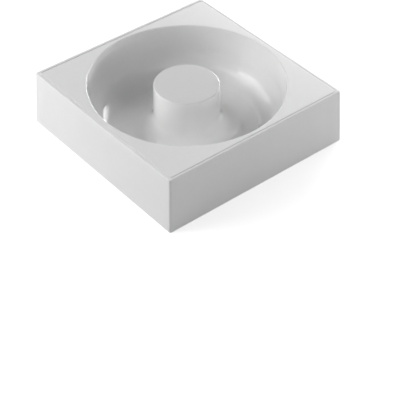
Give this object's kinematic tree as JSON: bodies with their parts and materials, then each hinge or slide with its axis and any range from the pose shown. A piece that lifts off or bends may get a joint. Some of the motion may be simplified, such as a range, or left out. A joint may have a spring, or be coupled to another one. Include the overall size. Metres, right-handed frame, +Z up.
{
  "type": "savarin mould",
  "caption": "Square open-bottomed silicone baking mould with one round, smooth-walled ring cavity and a central post with a flared foot.",
  "frame": {"origin": "centre of the base, on the surface that the mould stands on", "axes": "+Z up along the axis of the post and the ring cavity; X and Y square to the sides"},
  "size_m": [0.2004, 0.2004, 0.055],
  "materials": {
    "silicone": "pale grey silicone, satin on the deck and sides, smoother in the cavity"
  },
  "bodies": {
    "root": {"mould": "silicone"}
  },
  "joints": []
}
